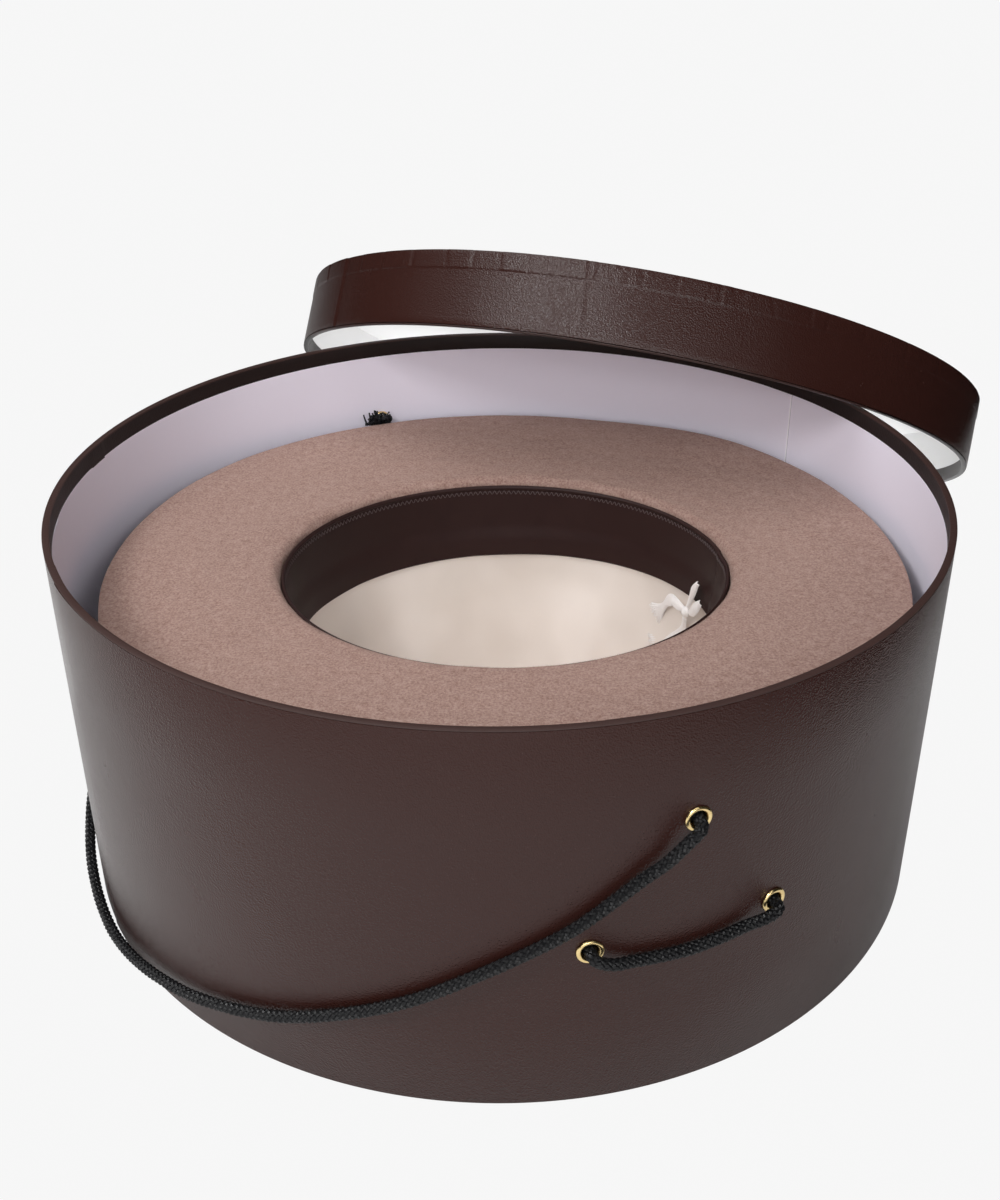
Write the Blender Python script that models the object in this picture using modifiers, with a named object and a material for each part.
"""A wide-brimmed fedora lying crown down in its open round hat box, with the loose lid behind.

The box stands on z = 0 with its axis on +Z. The hat's front looks to -X and its back to +X.
The lid leans on the rear rim, its far edge on the floor. All sizes are in metres.
"""
import math

import bpy
import bmesh
from mathutils import Vector

# Small gap kept between pieces that rest on or touch each other
GAP = 0.0003
SEGMENTS = 48
HAT_SEGMENTS = 40

# The box: a board hoop with a board base, white paper inside and a turned-in strip at the rim
BOX_RADIUS = 0.200
BOX_HEIGHT = 0.1773
BOX_BOARD = 0.0022
BASE_BOARD = 0.0024
BOX_PAPER = 0.0005
RIM_STRIP = 0.0005
RIM_STRIP_WIDTH = 0.0092

# The lid: a shallow hoop that slips over the box with a little play
LID_PLAY = 0.0008
LID_BOARD = 0.0020
LID_HEIGHT = 0.0390
LID_PAPER = 0.0005
LID_STRIP = 0.0005
LID_STRIP_WIDTH = 0.0095

# How the lid lies: azimuth it leans to (from +Y toward +X), side offset and room over the rim
LID_AZIMUTH = math.radians(22.1)
LID_SIDE_OFFSET = -0.0146
LID_ROOM = 0.0054
LID_REST_GAP = 0.0008
LID_LEAST_TILT = math.radians(10.0)
LID_MOST_TILT = math.radians(60.0)
LID_HALVINGS = 60

# Eyelets and the black cord that they hold
EYELET_FLANGE_RADIUS = 0.0054
EYELET_HOLE_RADIUS = 0.0034
EYELET_BARREL = 0.0005
EYELET_FLANGE = 0.0009
EYELET_SIDES = 10
HOLE_CUTTER_LENGTH = 0.0176
CORD_DIAMETER = 0.0052
CORD_POINT_SPACING = 0.0150
CORD_INSIDE = -0.0041
CORD_BEND_DIAMETERS = 5
CORD_BEND_STEPS = 8
CURVE_STEPS = 24
KNOT_WIDTH = 0.0115
KNOT_HEIGHT = 0.0120
KNOT_DEPTH = 0.0066
KNOT_SIDES = 8
KNOT_ROWS = 6

# Azimuth in degrees from the box's front (-Y) toward +X, and height
EYELETS = (
    ("front_high", 20.4, 0.1306),
    ("front_left", 9.2, 0.0773),
    ("front_right", 31.2, 0.0782),
    ("rear_high", 200.4, 0.1306),
    ("rear_left", 189.2, 0.0773),
    ("rear_right", 211.2, 0.0782),
)

# Route of the carrying cord: azimuth in degrees, distance of its axis from the box wall, height
HANDLE_ROUTE = (
    (20.4, CORD_INSIDE, 0.1306),
    (20.4, 0.0005, 0.1306),
    (20.1, 0.0050, 0.1296),
    (18.6, 0.0060, 0.1256),
    (16.6, 0.0042, 0.1168),
    (14.0, 0.0034, 0.1100),
    (9.9, 0.0031, 0.0984),
    (5.8, 0.0030, 0.0880),
    (-2.4, 0.0030, 0.0711),
    (-11.0, 0.0030, 0.0533),
    (-20.3, 0.0030, 0.0382),
    (-28.3, 0.0031, 0.0275),
    (-37.8, 0.0033, 0.0180),
    (-45.7, 0.0036, 0.0118),
    (-53.0, 0.0041, 0.0070),
    (-60.0, 0.0043, 0.0045),
    (-68.0, 0.0042, 0.0062),
    (-76.0, 0.0040, 0.0112),
    (-86.0, 0.0037, 0.0205),
    (-98.0, 0.0034, 0.0350),
    (-110.0, 0.0031, 0.0520),
    (-122.0, 0.0030, 0.0700),
    (-133.0, 0.0030, 0.0870),
    (-143.0, 0.0031, 0.1025),
    (-151.0, 0.0034, 0.1140),
    (-156.0, 0.0044, 0.1210),
    (-158.4, 0.0060, 0.1262),
    (-159.4, 0.0050, 0.1298),
    (-159.6, 0.0005, 0.1306),
    (-159.6, CORD_INSIDE, 0.1306),
)

# Route of the short cord between the two low eyelets of the front
STAY_ROUTE = (
    (9.2, CORD_INSIDE, 0.0773),
    (9.2, 0.0005, 0.0773),
    (9.6, 0.0048, 0.0764),
    (11.4, 0.0050, 0.0738),
    (13.6, 0.0034, 0.0722),
    (16.5, 0.0030, 0.0716),
    (20.2, 0.0030, 0.0714),
    (24.0, 0.0030, 0.0726),
    (27.0, 0.0034, 0.0742),
    (29.2, 0.0050, 0.0758),
    (30.8, 0.0048, 0.0776),
    (31.2, 0.0005, 0.0782),
    (31.2, CORD_INSIDE, 0.0782),
)

# The hat, in its own frame: the middle of the opening in the brim's plane, depth measured down
HAT_X = 0.0026
HAT_Y = 0.0040
BRIM_X = -0.0004
BRIM_Y = -0.0005
HEAD_LENGTH = 0.2116
HEAD_WIDTH = 0.1826
CROWN_HEIGHT = 0.1303
BRIM_PLAY = 0.0147
BRIM_RADIUS = BOX_RADIUS - BRIM_PLAY
BREAK_RADIUS = 0.0050
BRIM_CURL = 0.0040
FELT = 0.0022
DENT_RISE = 0.030
LINING = 0.0010
LINING_TOP = 0.0330
SWEATBAND = 0.0014
SWEATBAND_TOP = 0.0036
SWEATBAND_HEIGHT = 0.0440
SWEATBAND_SLANT = 0.0080

# Brim from its outer edge to the break: share of the way in from the edge
BRIM_ROWS = (0.0, 0.10, 0.40, 0.75)
# Turn in degrees of the rings that round the break
BREAK_ROWS = (0.0, 35.0, 65.0)
# Lift of the brim's edge around the hat: azimuth from the back in degrees, share of BRIM_CURL
BRIM_WAVE = (
    (0, 0.2),
    (45, 0.4),
    (75, -0.6),
    (110, -0.4),
    (150, 0.1),
    (200, -0.2),
    (250, 0.2),
    (310, 0.3),
    (360, 0.2),
)
# Pinches of the crown: angle from the back and spread in degrees, share of the hollow's depth and
# spread in such shares, and how far they go in
PINCHES = (
    (145.0, 18.0, 0.90, 0.22, 0.012),
    (215.0, 18.0, 0.90, 0.22, 0.012),
)
# Crown wall: shares of the hollow's depth, of the head length and of the head width
CROWN_ROWS = (
    (0.00, 1.000, 1.000),
    (0.28, 0.990, 0.985),
    (0.52, 0.962, 0.950),
    (0.72, 0.915, 0.890),
    (0.87, 0.850, 0.805),
    (0.96, 0.770, 0.700),
    (1.00, 0.680, 0.580),
)
# Top of the crown, in from its ridge: shares of the head length and width, of DENT_RISE, and
# of the head length that the ring is moved toward the back
TIP_ROWS = (
    (0.540, 0.400, 0.16, 0.010),
    (0.430, 0.230, 0.70, 0.025),
    (0.240, 0.105, 0.96, 0.035),
)
TIP_CENTRE = (1.0, 0.040)

# Ribbon bow at the back of the lining: angle from the back, depth, width and stand-off of its
# face from the felt
RIBBON = 0.0006
BOW_KNOT = (21.0, 0.0462, 0.0064)
BOW_KNOT_SIZE = (0.0056, 0.0058, 0.0040)
BOW_RIBBONS = {
    "bow_loop": (
        (20.6, 0.0429, 0.0022, 0.0062),
        (19.0, 0.0365, 0.0032, 0.0066),
        (17.4, 0.0310, 0.0046, 0.0070),
        (15.8, 0.0262, 0.0030, 0.0066),
    ),
    "bow_leaf": (
        (19.0, 0.0456, 0.0026, 0.0062),
        (16.8, 0.0430, 0.0050, 0.0068),
        (14.8, 0.0395, 0.0056, 0.0072),
        (12.9, 0.0350, 0.0030, 0.0064),
    ),
    "bow_tail_upper": (
        (23.3, 0.0466, 0.0034, 0.0060),
        (26.0, 0.0462, 0.0056, 0.0064),
        (29.5, 0.0458, 0.0060, 0.0062),
        (32.0, 0.0492, 0.0040, 0.0056),
        (34.5, 0.0540, 0.0052, 0.0044),
        (37.6, 0.0592, 0.0108, 0.0030),
    ),
    "bow_tail_lower": (
        (22.0, 0.0506, 0.0030, 0.0058),
        (24.0, 0.0555, 0.0046, 0.0044),
        (28.5, 0.0630, 0.0048, 0.0030),
        (33.0, 0.0700, 0.0056, 0.0027),
        (37.0, 0.0762, 0.0104, 0.0025),
    ),
}


def clear_scene():
    for old in list(bpy.data.objects):
        bpy.data.objects.remove(old, do_unlink=True)


def make_collection(name):
    collection = bpy.data.collections.new(name)
    bpy.context.scene.collection.children.link(collection)
    return collection


def make_material(name, colour, roughness, metallic=0.0):
    material = bpy.data.materials.new(name)
    material.use_nodes = True
    shader = material.node_tree.nodes["Principled BSDF"]
    shader.inputs["Base Color"].default_value = (*colour, 1.0)
    shader.inputs["Roughness"].default_value = roughness
    shader.inputs["Metallic"].default_value = metallic
    return material


def add_object(name, mesh, material, collection, parent=None):
    """One named sub-part, smooth where it is round, at its parent's place."""
    piece = bpy.data.objects.new(name, mesh)
    collection.objects.link(piece)
    mesh.materials.append(material)
    mesh.shade_smooth()
    if mesh.polygons:
        mesh.set_sharp_from_angle(angle=math.radians(35))
    piece.parent = parent
    return piece


def turned(name, profile, closed, segments, material, collection, parent=None):
    """Turn a profile of (radius, height) rows about Z; it runs down its outer side."""
    mesh = bpy.data.meshes.new(name)
    points = [(radius, 0.0, height) for radius, height in profile]
    last = len(points) if closed else len(points) - 1
    edges = [(i, (i + 1) % len(points)) for i in range(last)]
    mesh.from_pydata(points, edges, [])
    piece = add_object(name, mesh, material, collection, parent)
    screw = piece.modifiers.new("turn", "SCREW")
    screw.angle = math.tau
    screw.steps = segments
    screw.render_steps = segments
    screw.use_merge_vertices = True
    screw.merge_threshold = 0.00001
    return piece


def hoop_profile(outer, wall, low, high):
    return ((outer, high), (outer, low), (outer - wall, low), (outer - wall, high))


def disc_profile(radius, low, high):
    return ((0.0, high), (radius, high), (radius, low), (0.0, low))


def rim_profile(outer, board, strip, width, edge, inward):
    """A strip over a board's edge and down its inner side; inward is -1 below a top edge."""
    inner = outer - board - GAP
    lip = edge + inward * strip
    end = edge + inward * width
    rows = (
        (outer, edge),
        (outer, lip),
        (inner, lip),
        (inner, end),
        (inner - strip, end),
        (inner - strip, edge),
    )
    return rows if inward < 0 else rows[::-1]


def on_wall(azimuth, radius, height):
    """World point at an azimuth in degrees from the front (-Y) toward +X."""
    angle = math.radians(azimuth)
    return Vector((radius * math.sin(angle), -radius * math.cos(angle), height))


def outward_turn(azimuth):
    """Rotation that turns local +Z to look out of the wall at an azimuth."""
    return (math.radians(90.0), 0.0, math.radians(azimuth))


def dense_route(points):
    """Catmull-Rom curve through the route's points, as many short steps."""
    dense = []
    last = len(points) - 1
    for i in range(last):
        before, start = points[max(i - 1, 0)], points[i]
        end, after = points[i + 1], points[min(i + 2, last)]
        for step in range(CURVE_STEPS):
            t = step / CURVE_STEPS
            dense.append(0.5 * (2 * start + (end - before) * t
                                + (2 * before - 5 * start + 4 * end - after) * t * t
                                + (3 * start - before - 3 * end + after) * t ** 3))
    return dense + [points[-1]]


def smooth_route(points, spacing):
    """Points along the smooth curve, close together where the cord turns at its two ends."""
    dense = dense_route(points)
    lengths = [0.0]
    for a, b in zip(dense, dense[1:]):
        lengths.append(lengths[-1] + (b - a).length)
    bend = CORD_DIAMETER * CORD_BEND_DIAMETERS
    middle = lengths[-1] - 2 * bend
    steps = max(2, round(middle / spacing))
    stops = [bend * n / CORD_BEND_STEPS for n in range(CORD_BEND_STEPS)]
    stops += [bend + middle * n / steps for n in range(steps)]
    stops += [lengths[-1] - bend * n / CORD_BEND_STEPS for n in range(CORD_BEND_STEPS, -1, -1)]
    result = []
    k = 0
    for stop in stops:
        while k < len(dense) - 2 and lengths[k + 1] < stop:
            k += 1
        share = (stop - lengths[k]) / (lengths[k + 1] - lengths[k])
        result.append(dense[k].lerp(dense[k + 1], share))
    return result


def cord_tube(name, route, spacing, turn, material, collection):
    """A round cord along a route of (azimuth, distance from the wall, height) rows."""
    stops = [on_wall(azimuth + turn, BOX_RADIUS + off, height) for azimuth, off, height in route]
    points = smooth_route(stops, spacing)
    curve = bpy.data.curves.new(name, "CURVE")
    curve.dimensions = "3D"
    curve.bevel_depth = CORD_DIAMETER / 2
    curve.bevel_resolution = 2
    curve.use_fill_caps = True
    spline = curve.splines.new("POLY")
    spline.points.add(len(points) - 1)
    for point, place in zip(spline.points, points):
        point.co = (*place, 1.0)
    curve.materials.append(material)
    tube = bpy.data.objects.new(name, curve)
    collection.objects.link(tube)
    return tube


def facet_sag():
    """How far the middle of one of the box's flat facets lies inside its round outline."""
    return BOX_RADIUS * (1.0 - math.cos(math.pi / SEGMENTS))


def build_box(collection, cutters, cover, paper):
    """The hoop, its base, the paper inside it and the turned-in strip at the rim."""
    wall_top = BOX_HEIGHT - RIM_STRIP - GAP
    wall = turned("box_wall", hoop_profile(BOX_RADIUS, BOX_BOARD, 0.0, wall_top),
                  True, SEGMENTS, cover, collection)
    inside = BOX_RADIUS - BOX_BOARD - GAP
    turned("box_base", disc_profile(inside, 0.0, BASE_BOARD), False, SEGMENTS, cover, collection)
    strip_end = BOX_HEIGHT - RIM_STRIP_WIDTH
    liner = turned("box_paper",
                   hoop_profile(inside, BOX_PAPER, BASE_BOARD + GAP, strip_end - GAP),
                   True, SEGMENTS, paper, collection)
    turned("box_rim_strip",
           rim_profile(BOX_RADIUS, BOX_BOARD, RIM_STRIP, RIM_STRIP_WIDTH, BOX_HEIGHT, -1),
           True, SEGMENTS, cover, collection)
    hole = EYELET_HOLE_RADIUS + EYELET_BARREL + GAP
    for name, azimuth, height in EYELETS:
        mesh = bpy.data.meshes.new("hole_" + name)
        shape = bmesh.new()
        bmesh.ops.create_cone(shape, cap_ends=True, segments=EYELET_SIDES, radius1=hole,
                              radius2=hole, depth=HOLE_CUTTER_LENGTH)
        shape.to_mesh(mesh)
        shape.free()
        cutter = bpy.data.objects.new("hole_" + name, mesh)
        cutters.objects.link(cutter)
        cutter.location = on_wall(azimuth, BOX_RADIUS, height)
        cutter.rotation_euler = outward_turn(azimuth)
        cutter.hide_render = True
        cutter.display_type = "WIRE"
        for pierced in (wall, liner):
            cut = pierced.modifiers.new(name, "BOOLEAN")
            cut.operation = "DIFFERENCE"
            cut.solver = "EXACT"
            cut.object = cutter


def build_eyelets(collection, brass):
    """Rolled brass eyelets: a flange outside, a barrel through board and paper, one inside."""
    outside = GAP
    inside = -(BOX_BOARD + BOX_PAPER + 2 * GAP + facet_sag())
    barrel = EYELET_HOLE_RADIUS + EYELET_BARREL
    profile = (
        (EYELET_HOLE_RADIUS, outside + EYELET_FLANGE),
        (EYELET_FLANGE_RADIUS, outside + EYELET_FLANGE / 2),
        (EYELET_FLANGE_RADIUS, outside),
        (barrel, outside),
        (barrel, inside),
        (EYELET_FLANGE_RADIUS, inside),
        (EYELET_HOLE_RADIUS, inside - EYELET_FLANGE),
    )
    for name, azimuth, height in EYELETS:
        eyelet = turned("eyelet_" + name, profile, True, EYELET_SIDES, brass, collection)
        eyelet.location = on_wall(azimuth, BOX_RADIUS, height)
        eyelet.rotation_euler = outward_turn(azimuth)


def ball_mesh(mesh, size):
    """Fill a mesh with the rounded lump of a knot, size across on each axis."""
    shape = bmesh.new()
    bmesh.ops.create_uvsphere(shape, u_segments=KNOT_SIDES, v_segments=KNOT_ROWS, radius=0.5)
    bmesh.ops.scale(shape, verts=shape.verts, vec=size)
    shape.to_mesh(mesh)
    shape.free()


def build_cords(collection, black):
    """The carrying cord round the left side, a short cord at front and rear, and their knots."""
    cord_tube("handle_cord", HANDLE_ROUTE, CORD_POINT_SPACING, 0.0, black, collection)
    short = CORD_POINT_SPACING / 2
    cord_tube("front_cord", STAY_ROUTE, short, 0.0, black, collection)
    cord_tube("rear_cord", STAY_ROUTE, short, 180.0, black, collection)
    for name, azimuth, height in EYELETS:
        mesh = bpy.data.meshes.new("knot_" + name)
        ball_mesh(mesh, (KNOT_WIDTH, KNOT_HEIGHT, KNOT_DEPTH))
        knot = add_object("knot_" + name, mesh, black, collection)
        middle = BOX_RADIUS + CORD_INSIDE - GAP - KNOT_DEPTH / 2
        knot.location = on_wall(azimuth, middle, height)
        knot.rotation_euler = outward_turn(azimuth)


def lid_pose():
    """Tilt and distance of the lid's centre, with its far edge down and its rim on the box.

    The lid's mouth circle crosses the box's rim circle at LID_REST_GAP, and the rear rim reaches
    into the lid until LID_ROOM is left to its paper. The tilt is found by halving.
    """
    radius = BOX_RADIUS + LID_PLAY + LID_STRIP + GAP + LID_BOARD
    mouth = BOX_RADIUS + LID_PLAY
    reach = LID_HEIGHT - LID_BOARD - GAP - LID_PAPER - LID_ROOM
    low, high = LID_LEAST_TILT, LID_MOST_TILT
    distance = 0.0
    for _ in range(LID_HALVINGS):
        tilt = (low + high) / 2
        centre = radius * math.sin(tilt)
        up = (BOX_HEIGHT - centre) / math.sin(tilt)
        across = math.sqrt(max(mouth ** 2 - up ** 2, 0.0)) - abs(LID_SIDE_OFFSET)
        room = (BOX_RADIUS + LID_REST_GAP) ** 2 - across ** 2
        distance = up * math.cos(tilt) + math.sqrt(max(room, 0.0))
        depth = (BOX_RADIUS - distance) * math.sin(tilt) + (BOX_HEIGHT - centre) * math.cos(tilt)
        if mouth < up or depth < reach:
            low = tilt
        else:
            high = tilt
    return radius, tilt, distance


def build_lid(collection, cover, paper):
    """The loose lid, mouth down, leaning on the rear rim."""
    radius, tilt, distance = lid_pose()
    along = Vector((math.sin(LID_AZIMUTH), math.cos(LID_AZIMUTH), 0.0))
    side = Vector((math.cos(LID_AZIMUTH), -math.sin(LID_AZIMUTH), 0.0))
    frame = bpy.data.objects.new("lid_frame", None)
    collection.objects.link(frame)
    frame.location = along * distance + side * LID_SIDE_OFFSET
    frame.location.z = radius * math.sin(tilt)
    frame.rotation_euler = (-tilt, 0.0, -LID_AZIMUTH)
    inside = radius - LID_BOARD - GAP
    disc_low = LID_HEIGHT - LID_BOARD
    turned("lid_hoop", hoop_profile(radius, LID_BOARD, LID_STRIP + GAP, LID_HEIGHT),
           True, SEGMENTS, cover, collection, frame)
    turned("lid_disc", disc_profile(inside, disc_low, LID_HEIGHT),
           False, SEGMENTS, cover, collection, frame)
    turned("lid_rim_strip",
           rim_profile(radius, LID_BOARD, LID_STRIP, LID_STRIP_WIDTH, 0.0, 1),
           True, SEGMENTS, cover, collection, frame)
    top = disc_low - GAP
    cup = (
        (0.0, top),
        (inside, top),
        (inside, LID_STRIP_WIDTH + GAP),
        (inside - LID_PAPER, LID_STRIP_WIDTH + GAP),
        (inside - LID_PAPER, top - LID_PAPER),
        (0.0, top - LID_PAPER),
    )
    turned("lid_paper", cup, False, SEGMENTS, paper, collection, frame)


def between(rows, value):
    """Values of a table's other columns at a place on its first column, read in a line."""
    for first, second in zip(rows, rows[1:]):
        if value <= second[0]:
            break
    share = (value - first[0]) / (second[0] - first[0])
    return [a + (b - a) * share for a, b in zip(first[1:], second[1:])]


def hollow_depth():
    return CROWN_HEIGHT - FELT


def wall_point(angle, depth):
    """Point on the hollow's wall at an angle from the back and a depth under the brim."""
    share = depth / hollow_depth()
    length, width = between(CROWN_ROWS, min(share, 1.0))
    push = 0.0
    for degrees, spread, level, reach, pinch_depth in PINCHES:
        away = math.degrees(math.remainder(angle - math.radians(degrees), math.tau)) / spread
        push += pinch_depth * math.exp(-away ** 2 - ((share - level) / reach) ** 2)
    x = (HEAD_LENGTH / 2 * length - push) * math.cos(angle)
    y = (HEAD_WIDTH / 2 * width - push) * math.sin(angle)
    return Vector((x, y, -depth))


def hat_angles():
    return [math.tau * k / HAT_SEGMENTS for k in range(HAT_SEGMENTS)]


def brim_rings():
    """Rings of the brim's upper face and of the rounded break, edge first."""
    centre = Vector((BRIM_X, BRIM_Y, 0.0))
    rings = []
    for share in BRIM_ROWS:
        ring = []
        for angle in hat_angles():
            edge = centre + Vector((math.cos(angle), math.sin(angle), 0.0)) * BRIM_RADIUS
            inner = wall_point(angle, 0.0)
            inner += Vector((math.cos(angle), math.sin(angle), 0.0)) * BREAK_RADIUS
            point = edge.lerp(inner, share)
            lift, = between(BRIM_WAVE, math.degrees(angle))
            point.z = lift * BRIM_CURL * (1.0 - share) ** 2
            ring.append(point)
        rings.append(ring)
    for turn in BREAK_ROWS:
        ring = []
        for angle in hat_angles():
            out = Vector((math.cos(angle), math.sin(angle), 0.0))
            share = 1.0 - math.sin(math.radians(turn))
            drop = BREAK_RADIUS * (1.0 - math.cos(math.radians(turn)))
            ring.append(wall_point(angle, 0.0) + out * BREAK_RADIUS * share
                        - Vector((0.0, 0.0, drop)))
        rings.append(ring)
    return rings


def wall_rings(depths):
    return [[wall_point(angle, depth) for angle in hat_angles()] for depth in depths]


def tip_rings():
    rings = []
    for length, width, rise, shift in TIP_ROWS:
        height = -hollow_depth() + DENT_RISE * rise
        rings.append([Vector((HEAD_LENGTH / 2 * (length * math.cos(angle) + shift),
                              HEAD_WIDTH / 2 * width * math.sin(angle), height))
                      for angle in hat_angles()])
    return rings


def ring_surface(rings, centre=None):
    """Open surface through rings of points, closed in the middle where a centre is given."""
    shape = bmesh.new()
    rows = [[shape.verts.new(point) for point in ring] for ring in rings]
    count = len(rings[0])
    for outer, inner in zip(rows, rows[1:]):
        for k in range(count):
            after = (k + 1) % count
            shape.faces.new((outer[k], outer[after], inner[after], inner[k]))
    if centre is not None:
        middle = shape.verts.new(centre)
        for k in range(count):
            shape.faces.new((rows[-1][k], rows[-1][(k + 1) % count], middle))
    shape.normal_update()
    return shape


def shell_piece(name, shape, thickness, material, collection, parent):
    """Give an open surface its thickness on the side away from the hollow."""
    mesh = bpy.data.meshes.new(name)
    shape.to_mesh(mesh)
    shape.free()
    piece = add_object(name, mesh, material, collection, parent)
    solid = piece.modifiers.new("thickness", "SOLIDIFY")
    solid.thickness = thickness
    solid.offset = -1.0
    solid.use_even_offset = False
    return piece


def crown_depths(start):
    return [start] + [share * hollow_depth() for share, *_ in CROWN_ROWS
                      if share * hollow_depth() > start + BREAK_RADIUS]


def tip_centre():
    rise, shift = TIP_CENTRE
    return Vector((HEAD_LENGTH / 2 * shift, 0.0, -hollow_depth() + DENT_RISE * rise))


def offset_along_normals(shape, distance):
    normals = {vert: vert.normal.copy() for vert in shape.verts}
    for vert, normal in normals.items():
        vert.co += normal * distance


def build_hat(collection, felt, leather, satin, ribbon):
    """The felt body in one piece, the satin lining, the leather sweatband and the bow."""
    frame = bpy.data.objects.new("hat_frame", None)
    collection.objects.link(frame)
    frame.location = (HAT_X, HAT_Y, BASE_BOARD + GAP + CROWN_HEIGHT)

    rings = brim_rings() + wall_rings(crown_depths(BREAK_RADIUS)) + tip_rings()
    shell_piece("felt_body", ring_surface(rings, tip_centre()), FELT, felt, collection, frame)

    rings = wall_rings(crown_depths(LINING_TOP)) + tip_rings()
    shape = ring_surface(rings, tip_centre())
    offset_along_normals(shape, GAP + LINING)
    shell_piece("lining", shape, LINING, satin, collection, frame)

    build_sweatband(collection, leather, frame)
    build_bow(collection, ribbon, frame)


def build_sweatband(collection, leather, frame):
    """Leather band sewn in at the break, deeper at the back, over the lining's top edge."""
    under = GAP + SWEATBAND
    over = LINING + 2 * GAP + SWEATBAND
    rows = (
        (SWEATBAND_TOP, 0.0, under),
        (SWEATBAND_TOP + 2 * BREAK_RADIUS, 0.0, under),
        (LINING_TOP - BREAK_RADIUS, 0.0, under),
        (LINING_TOP - GAP, 0.0, over),
        (SWEATBAND_HEIGHT, SWEATBAND_SLANT, over),
    )
    rings = []
    for depth, slant, stand_off in rows:
        ring = []
        for angle in hat_angles():
            place = depth + slant * math.cos(angle)
            point = wall_point(angle, place)
            inward = Vector((-point.x, -point.y, 0.0)).normalized()
            ring.append(point + inward * stand_off)
        rings.append(ring)
    shell_piece("sweatband", ring_surface(rings), SWEATBAND, leather, collection, frame)


def bow_point(degrees, depth, stand_off):
    point = wall_point(math.radians(degrees), depth)
    inward = Vector((-point.x, -point.y, 0.0)).normalized()
    return point + inward * stand_off, inward


def build_bow(collection, ribbon, frame):
    """Small bow tied in the sweatband's seam: a knot, a loop, a leaf and two tails."""
    mesh = bpy.data.meshes.new("bow_knot")
    ball_mesh(mesh, BOW_KNOT_SIZE)
    knot = add_object("bow_knot", mesh, ribbon, collection, frame)
    place, inward = bow_point(*BOW_KNOT)
    knot.location = place
    knot.rotation_euler = inward.to_track_quat("Z", "Y").to_euler()
    for name, rows in BOW_RIBBONS.items():
        places = [bow_point(degrees, depth, stand_off) for degrees, depth, _, stand_off in rows]
        shape = bmesh.new()
        pairs = []
        for k, (point, inward) in enumerate(places):
            ahead = places[min(k + 1, len(places) - 1)][0] - places[max(k - 1, 0)][0]
            across = ahead.cross(inward).normalized() * rows[k][2] / 2
            pairs.append((shape.verts.new(point - across), shape.verts.new(point + across)))
        for (a, b), (c, d) in zip(pairs, pairs[1:]):
            shape.faces.new((a, c, d, b))
        shape.normal_update()
        if shape.faces[:][0].normal.dot(places[0][1]) < 0:
            bmesh.ops.reverse_faces(shape, faces=shape.faces[:])
        shell_piece(name, shape, RIBBON, ribbon, collection, frame)


def main():
    clear_scene()
    collection = make_collection("fedora_in_hat_box")
    cutters = make_collection("cutters")
    cover = make_material("box_cover", (0.052, 0.028, 0.026), 0.42)
    paper = make_material("box_paper", (0.72, 0.70, 0.74), 0.80)
    brass = make_material("eyelet_brass", (0.78, 0.57, 0.24), 0.25, 1.0)
    black = make_material("cord_black", (0.012, 0.012, 0.014), 0.75)
    felt = make_material("felt", (0.31, 0.215, 0.185), 0.95)
    leather = make_material("sweatband_leather", (0.032, 0.017, 0.015), 0.45)
    satin = make_material("lining_satin", (0.66, 0.58, 0.51), 0.45)
    ribbon = make_material("bow_ribbon", (0.86, 0.84, 0.82), 0.60)
    build_box(collection, cutters, cover, paper)
    build_eyelets(collection, brass)
    build_cords(collection, black)
    build_lid(collection, cover, paper)
    build_hat(collection, felt, leather, satin, ribbon)


main()
